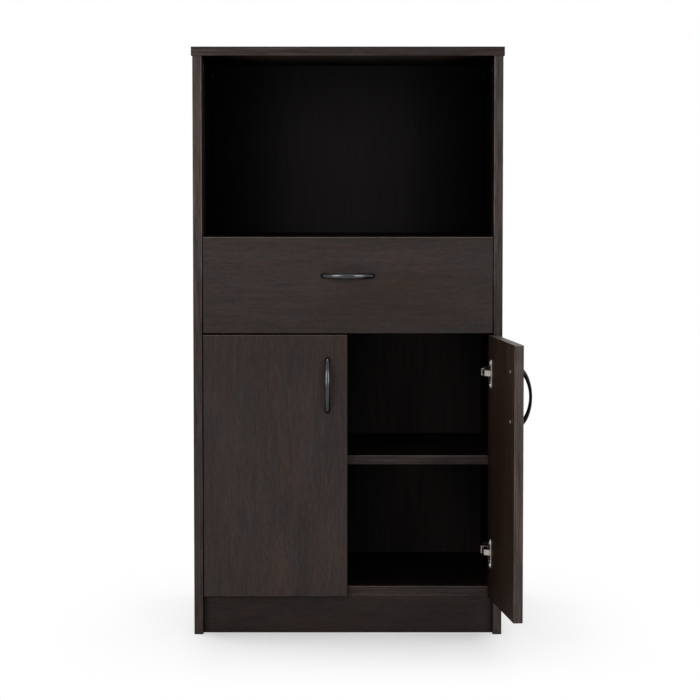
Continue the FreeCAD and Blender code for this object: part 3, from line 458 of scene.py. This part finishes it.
def beech():
    shader = Shader("beech_dowel")
    place = shader.stretch(shader.coordinates(), (0.1, 0.3, 0.3))
    grain = shader.noise(place, 900.0, 4.0, 0.6, 0.4)
    colour = shader.ramp(grain, [(0.35, (0.36, 0.22, 0.12)), (0.65, (0.56, 0.38, 0.23))])
    shader.bump(grain, distance=0.0001, edge=0.0003)
    return shader.finish(colour, shader.span(grain, 0.3, 0.7, 0.6, 0.75))


def coated_steel():
    """Slide rails: dark brown epoxy powder coat with its orange-peel skin."""
    shader = Shader("brown_epoxy_coat")
    place = shader.coordinates()
    peel = shader.noise(place, 700.0, 2.0, 0.4)
    cloud = shader.noise(place, 60.0, 3.0)
    colour = shader.ramp(cloud, [(0.35, (0.022, 0.015, 0.012)), (0.65, (0.034, 0.024, 0.020))])
    shader.bump(peel, distance=0.00008, edge=0.0003)
    return shader.finish(colour, shader.span(peel, 0.3, 0.7, 0.3, 0.42), Specular_IOR_Level=0.5)


# Boards. X is the width, Y the depth and Z the height.

WIDTH, DEPTH, HEIGHT = (1, 0, 0), (0, 1, 0), (0, 0, 1)
OPEN = math.radians(96.5)
DOOR_NORMAL = (math.sin(OPEN), -math.cos(OPEN), 0)  # of the open right door
DOOR_MIDDLE = 0.2869  # of its thickness, along that normal
SIDE_SKIN = 0.2945  # half a millimetre behind the side panels' inner faces, along X
TOP_MIDDLE = 1.18  # of its thickness, along Z
HALF_MIDDLE = 0.14  # of each half of the cupboard, along X
MOVING = 0.4  # least tone that the painted gap shade leaves on the boards that move out of the gaps

# How light falls off inside: from place to place in metres, from tone to tone

bay_side_light = times(
    1.7,
    slope("y", -0.03, 0.12, 1.0, 0.05),
    slope("x", -0.29, 0.29, 1.0, 0.5),
    slope("z", 0.70, 0.72, 0.0, 1.0),
    least=0.09,
)
bay_ceiling_light = times(
    2.1,
    slope("y", -0.03, 0.3, 1.0, 0.35),
    slope("x", 0.17, 0.26, 1.0, 0.15, fold=True),
)
bay_back_light = slope("x", 0.12, 0.28, 1.0, 0.25, fold=True)
open_door_light = times(
    slope("z", 0.36, 0.58, 0.78, 1.15),
    slope("y", -0.15, -0.03, 0.92, 0.5),
    slope("y", -0.31, -0.15, 1.18, 1.0),
)


def cupboard_back_light(shader):
    """Lightest in the middle of each half."""
    across = shader.maths("ABSOLUTE", along_axis(shader, "x"))
    across = shader.maths("ABSOLUTE", shader.maths("SUBTRACT", across, HALF_MIDDLE))
    return shader.span(across, 0.0, HALF_MIDDLE, 1.0, 0.3)


def inside_of_sides(shader):
    return below(shader, "x", SIDE_SKIN, fold=True)


def under_top(shader):
    return below(shader, "z", TOP_MIDDLE)


def inside_of_open_door(shader):
    return shader.maths("LESS_THAN", shader.dot(shader.coordinates(), DOOR_NORMAL), DOOR_MIDDLE)


# Side panels: painted light on the front edges, lighter towards the top, and painted light and
# shade on the inside faces and their front corners
clothe(
    laminate(
        "laminate_sides",
        "z",
        WIDTH,
        edge=slope("z", 0.6, 0.95, 1.17, 1.62),
        inner=inside_of_sides,
        dark=bay_side_light,
        upper_highlight=0.0,
        corner_tone=slope("z", 0.70, 0.74, -0.2, 1.3),
    ),
    "left_side_panel",
    "right_side_panel",
)
# Top panel: painted light on its front edge, lighter towards the left, and painted light and shade
# under it
clothe(
    laminate(
        "laminate_top",
        "x",
        HEIGHT,
        edge=slope("x", -0.31, 0.15, 1.35, 0.88),
        shift=0.31,
        inner=under_top,
        dark=bay_ceiling_light,
        upper_highlight=0.0,
        corner_tone=0.0,
    ),
    "top_panel",
)
# Shelves and bottom panel: painted shade on their faces, and a painted highlight on their front's
# upper corners
clothe(
    laminate(
        "laminate_levels", "x", HEIGHT, edge=1.1, shift=0.53, face=0.3, upper_highlight=1.0, corner_tone=0.0
    ),
    "microwave_shelf",
    "cupboard_shelf",
    "bottom_panel",
)
# Drawer divider: painted shade on its faces and front edge
clothe(
    laminate("laminate_divider", "x", HEIGHT, edge=0.4, shift=0.91, face=0.3), "drawer_divider"
)
clothe(
    laminate("laminate_plinths", "x", DEPTH, shift=1.9, face=0.85), "front_plinth", "rear_plinth"
)
# Drawer front: a painted highlight on its upper corners
clothe(
    laminate(
        "laminate_drawer", "x", DEPTH, edge=1.2, shift=0.77, face=1.06, upper_highlight=1.7, deep=MOVING
    ),
    "drawer_front",
)
clothe(
    laminate("laminate_drawer_box", "y", WIDTH, edge=0.9, shift=1.61, face=0.85, deep=MOVING),
    "drawer_left_side",
    "drawer_right_side",
)
clothe(
    laminate("laminate_drawer_back", "x", DEPTH, edge=0.9, shift=2.03, face=0.85, deep=MOVING),
    "drawer_back",
)
# Left door: painted light, its face lighter towards the bottom
clothe(
    laminate(
        "laminate_left_door",
        "z",
        DEPTH,
        edge=1.3,
        shift=1.13,
        face=slope("z", 0.36, 0.58, 1.2, 1.06),
        deep=MOVING,
    ),
    "left_door_panel",
)
# Right door: painted light on its inside face, and a painted highlight on its front's corners
clothe(
    laminate(
        "laminate_right_door",
        "z",
        DOOR_NORMAL,
        edge=1.7,
        shift=2.41,
        face=1.15,
        inner=inside_of_open_door,
        dark=open_door_light,
        tint=(1.1, 0.88, 0.68),
        corner_tone=0.45,
        deep=MOVING,
    ),
    "right_door_panel",
)
# Back boards: painted light and shade, darker towards the sides of the bay and of each cupboard
# half
clothe(hardboard("upper_hardboard", 0.34, 0.1, bay_back_light), "upper_back_panel")
clothe(hardboard("lower_hardboard", 2.0, light_falloff=cupboard_back_light), "lower_back_panel")
clothe(hardboard("drawer_hardboard", 0.7), "drawer_bottom")

# Fittings. A metal has a dark and a light colour, and its least and greatest roughness.

LEFT_CUP_EDGE = -0.2735  # painted shade on the hinge side of the left cups begins there, along X
RIGHT_CUP_EDGE = -0.0505  # and that of the right cups, on the open door, along Y
BRIGHT_NICKEL = (0.72, 0.66, 0.60), (0.88, 0.83, 0.77), (0.34, 0.48)
NICKEL = (0.32, 0.29, 0.26), (0.45, 0.41, 0.37), (0.24, 0.38)
ZINC = (0.46, 0.46, 0.46), (0.62, 0.62, 0.61), (0.28, 0.42)
DULL_ZINC = (0.16, 0.16, 0.16), (0.24, 0.24, 0.24), (0.5, 0.62)
DIE_CAST_ZINC = (0.10, 0.095, 0.09), (0.17, 0.16, 0.155), (0.5, 0.65)


def left_cup_painted_shade(shader):
    return below(shader, "x", LEFT_CUP_EDGE)


def right_cup_painted_shade(shader):
    return shader.maths("SUBTRACT", 1.0, below(shader, "y", RIGHT_CUP_EDGE))


def nodes_with(*words):
    return [name for name in NODES if any(word in name for word in words)]


# The cups' hinge sides carry painted shade
clothe(metal("nickel_left_cups", *BRIGHT_NICKEL, painted_shade=left_cup_painted_shade), "left_hinge_cups")
clothe(metal("nickel_right_cups", *BRIGHT_NICKEL, painted_shade=right_cup_painted_shade), "right_hinge_cups")
clothe(metal("nickel_plate", *NICKEL), *nodes_with("hinge_arms", "hinge_plates", "hinge_links"))
clothe(
    metal("zinc_plated_steel", *ZINC), *nodes_with("screws", "bolts", "nails", "axles", "_pins")
)
clothe(metal("dull_zinc", *DULL_ZINC), *nodes_with("handle_screws"))  # over the zinc above
clothe(metal("die_cast_zinc", *DIE_CAST_ZINC, bump=0.00006), *nodes_with("cam_locks"))
clothe(nylon(), "front_rollers", "rear_rollers")
clothe(beech(), "wood_dowels")
clothe(
    coated_steel(),
    "left_slide_channel",
    "right_slide_channel",
    "left_drawer_rail",
    "right_drawer_rail",
)

# Bow handles

HANDLE_HALF = 0.0574
DRAWER_HANDLE_HALF = 0.0548
HANDLE_WIDTH = 0.011
END_WIDTH = 0.6  # share of it at the bow's ends
FULLNESS = 0.7  # under 1, the width stays full for longer towards the ends
PROJECTION = 0.024
GAP_HALF = 0.049
GAP_RISE = 0.0182
FOOT_PITCH = 0.096
FOOT_RADIUS = 0.00425
FOOT_LEVELS = ((0, 1), (0.0015, 0.97), (0.004, 0.9), (0.005, 0.86))  # height, share of radius
ARC_SHARE = 0.25  # of the back: the rest of it is an ellipse
STATIONS = 65
AROUND = 28
DEPTH_POWER, ACROSS_POWER = 0.86, 0.92  # under 1, the section is fuller than an ellipse


def power(value, exponent):
    return math.copysign(abs(value) ** exponent, value)


def bow_section(half_length, angle):
    """A ring of points round the bow, from its one end at -90 degrees to the other at 90."""
    radius = (GAP_HALF**2 + GAP_RISE**2) / (2 * GAP_RISE)
    back = (half_length**2 + PROJECTION**2) / (2 * PROJECTION)
    outer_x = half_length * math.sin(angle)
    arc = math.sqrt(back**2 - outer_x**2) - back + PROJECTION
    ellipse = PROJECTION * math.cos(angle)
    outer = Vector((outer_x, ARC_SHARE * arc + (1 - ARC_SHARE) * ellipse))
    inner_x = GAP_HALF * math.sin(angle)
    inner = Vector((inner_x, math.sqrt(radius**2 - inner_x**2) - radius + GAP_RISE))
    middle, half = (outer + inner) / 2, (outer - inner) / 2
    wide = HANDLE_WIDTH / 2 * (END_WIDTH + (1 - END_WIDTH) * math.cos(angle) ** FULLNESS)
    for j in range(AROUND):
        turn = 2 * math.pi * j / AROUND
        point = middle + half * power(math.cos(turn), DEPTH_POWER)
        yield point.x, -point.y, wide * power(math.sin(turn), ACROSS_POWER)


def foot_section(side, height, swell):
    """A ring of points round one foot, which stands on the front."""
    reach = FOOT_RADIUS * swell
    for j in range(AROUND):
        turn = 2 * math.pi * j / AROUND
        x = side * FOOT_PITCH / 2 + reach * math.cos(turn)
        yield x, -height, reach * math.sin(turn)


def skin(form, sections):
    """Close a row of rings into one solid form with two flat ends."""
    rings = [[form.verts.new(point) for point in section] for section in sections]
    for first, second in zip(rings, rings[1:]):
        for j in range(AROUND):
            k = (j + 1) % AROUND
            form.faces.new((first[j], first[k], second[k], second[j]))
    form.faces.new(rings[0][::-1])
    form.faces.new(rings[-1])


def bow_mesh(name, half_length):
    """A round-backed bow along X that stands out towards -Y, widest in the middle, and its feet."""
    form = bmesh.new()
    angles = [math.pi * (i / (STATIONS - 1) - 0.5) for i in range(STATIONS)]
    skin(form, [bow_section(half_length, angle) for angle in angles])
    for side in (-1, 1):
        skin(form, [foot_section(side, height, swell) for height, swell in FOOT_LEVELS])
    bmesh.ops.recalc_face_normals(form, faces=form.faces)
    mesh = bpy.data.meshes.new(name)
    form.to_mesh(mesh)
    form.free()
    for polygon in mesh.polygons:
        polygon.use_smooth = len(polygon.vertices) == 4
    return mesh


def bow_handle(node, body, turn, plating, half_length=HANDLE_HALF):
    """A handle in its CAD node's place, standing upright or lying, on a front turned about Z."""
    low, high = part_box(node)
    item = bpy.data.objects.new(node + "_bow", bow_mesh(node + "_bow", half_length))
    item.data.materials.append(plating)
    bpy.context.scene.collection.objects.link(item)
    upright = high[2] - low[2] > half_length
    item.rotation_mode = "XYZ"
    item.rotation_euler = (0, math.pi / 2 if upright else 0, turn)
    face = Vector((math.sin(turn), -math.cos(turn), 0)) * PROJECTION / 2
    item.location = (Vector(low) + Vector(high)) / 2 - face
    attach(item, body)
    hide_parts(node)


def black_nickel(name, low, high, narrowing):
    """Dark plating, with painted dark reflection on the bow's flanks, so that its middle looks
    brighter.

    The painted flanks begin between low and high from the middle, and nearer to it at the bow's
    ends.
    """
    shader = Shader(name)
    place = shader.coordinates()
    scratch = shader.noise(shader.stretch(place, (0.1, 1.0, 1.0)), 500.0, 3.0, 0.6)
    cloud = shader.noise(place, 120.0, 3.0, 0.6)
    tone = shader.maths("MULTIPLY_ADD", scratch, 0.5, shader.product(cloud, 0.5))
    colour = shader.ramp(tone, [(0.35, (0.044, 0.045, 0.047)), (0.65, (0.062, 0.063, 0.066))])
    # Painted dark reflection on the flanks
    reach = shader.maths("DIVIDE", shader.maths("ABSOLUTE", along_axis(shader, "x")), HANDLE_HALF)
    off_middle = shader.maths("ABSOLUTE", along_axis(shader, "z"))
    off_middle = shader.maths(
        "MULTIPLY_ADD", shader.maths("POWER", reach, 2.0), narrowing, off_middle
    )
    painted_flank = shader.span(off_middle, low, high)
    colour = shader.blend(painted_flank, colour, FLANK_DARK_REFLECTION)
    shader.bump(scratch, distance=0.00001)
    rough = shader.span(tone, 0.35, 0.65, 0.24, 0.16)
    return shader.finish(colour, rough, Metallic=1.0)


drawer_plating = black_nickel("black_nickel_drawer", 0.0034, 0.0048, 0.0024)
door_plating = black_nickel("black_nickel_doors", 0.0028, 0.0046, 0.0005)
bow_handle("drawer_handle", "drawer", 0, drawer_plating, DRAWER_HANDLE_HALF)
bow_handle("left_door_handle", "left_door", 0, door_plating)
bow_handle("right_door_handle", "right_door", OPEN, door_plating)

# Studio: a white floor that keeps a soft shadow, white surroundings and five soft lamps

FLOOR_SIZE = 60
FOOT_MIDDLE = 0.2  # of the foot's depth
FOOT_HALF = 0.23
SHADE = 0.61  # share of the real shadow that the floor keeps round the foot
SHADE_REACH = 0.49
SHADE_ACROSS = ((0.26, 1), (0.34, 0.45), (0.52, 0.12), (0.64, 0))  # by distance from the middle
AMBIENT = 0.25
LAMPS = (  # name, place, aim, size, watts
    ("left", (-1.75, -3.4, 1.45), (0, 0, 0.65), (1.5, 1.8), 52),
    ("right", (1.75, -3.4, 1.45), (0, 0, 0.65), (1.5, 1.8), 44),
    ("overhead", (-0.3, 0.6, 3.2), (0, 0.1, 0), (2.2, 2.2), 74),
    ("left_rear", (-3.0, 2.1, 1.7), (0, 0.2, 0.6), (2.0, 2.0), 34),
    ("right_rear", (3.0, 2.1, 1.7), (0, 0.2, 0.6), (2.0, 2.0), 34),
)


def seen_directly(tree):
    """1 for rays from the camera, in gloss and through glass; 0 for diffuse light."""
    path = tree.nodes.new("ShaderNodeLightPath")
    total = path.outputs["Is Camera Ray"]
    for name in ("Is Glossy Ray", "Is Transmission Ray"):
        item = tree.nodes.new("ShaderNodeMath")
        item.operation = "MAXIMUM"
        tree.links.new(total, item.inputs[0])
        tree.links.new(path.outputs[name], item.inputs[1])
        total = item.outputs[0]
    return total


def floor_material():
    """White floor: lit and shadowed round the object's foot, plain white further off."""
    shader = Shader("studio_floor")
    cloud = shader.noise(shader.coordinates(), 3.0, 2.0)
    colour = shader.ramp(cloud, [(0.3, (0.80, 0.80, 0.80)), (0.7, (0.83, 0.83, 0.83))])
    shader.finish(colour, 0.9, Specular_IOR_Level=0.1)
    across = shader.maths("ABSOLUTE", along_axis(shader, "x"))
    beside = shader.ramp(across, [(at, (depth,) * 3) for at, depth in SHADE_ACROSS])
    ahead = shader.maths("SUBTRACT", along_axis(shader, "y"), FOOT_MIDDLE)
    ahead = shader.maths("ABSOLUTE", ahead)
    ahead = shader.span(ahead, FOOT_HALF, FOOT_HALF + SHADE_REACH, SHADE, 0.0)
    white = shader.maths("SUBTRACT", 1.0, shader.product(beside, ahead))
    glow = shader.node("ShaderNodeEmission")
    glow.inputs["Strength"].default_value = 1.0
    mix = shader.node("ShaderNodeMixShader")
    shader.join(shader.product(seen_directly(shader.tree), white), mix.inputs[0])
    shader.join(shader.surface.outputs[0], mix.inputs[1])
    shader.join(glow.outputs[0], mix.inputs[2])
    shader.join(mix.outputs[0], shader.output.inputs[0])
    return shader.material


def surroundings():
    """A world that is white where it is seen directly, and dimmer as a source of light."""
    world = bpy.data.worlds.new("studio")
    bpy.context.scene.world = world
    world.use_nodes = True
    tree = world.node_tree
    tree.nodes.clear()
    output = tree.nodes.new("ShaderNodeOutputWorld")
    background = tree.nodes.new("ShaderNodeBackground")
    background.inputs["Color"].default_value = (1, 1, 1, 1)
    level = tree.nodes.new("ShaderNodeMapRange")
    level.inputs["To Min"].default_value = AMBIENT
    level.inputs["To Max"].default_value = 1.0
    tree.links.new(seen_directly(tree), level.inputs["Value"])
    tree.links.new(level.outputs[0], background.inputs["Strength"])
    tree.links.new(background.outputs[0], output.inputs[0])


def softbox(name, place, aim, size, power_in_watts):
    data = bpy.data.lights.new(name, "AREA")
    data.shape = "RECTANGLE"
    data.size, data.size_y = size
    data.energy = power_in_watts
    lamp = bpy.data.objects.new(name, data)
    lamp.location = place
    lamp.rotation_euler = (Vector(aim) - Vector(place)).to_track_quat("-Z", "Y").to_euler()
    bpy.context.scene.collection.objects.link(lamp)


bpy.ops.mesh.primitive_plane_add(size=FLOOR_SIZE, location=(0, 0, 0))
floor = bpy.context.object
floor.name = "studio_floor"
floor.data.materials.append(floor_material())
surroundings()
for lamp in LAMPS:
    softbox(*lamp)
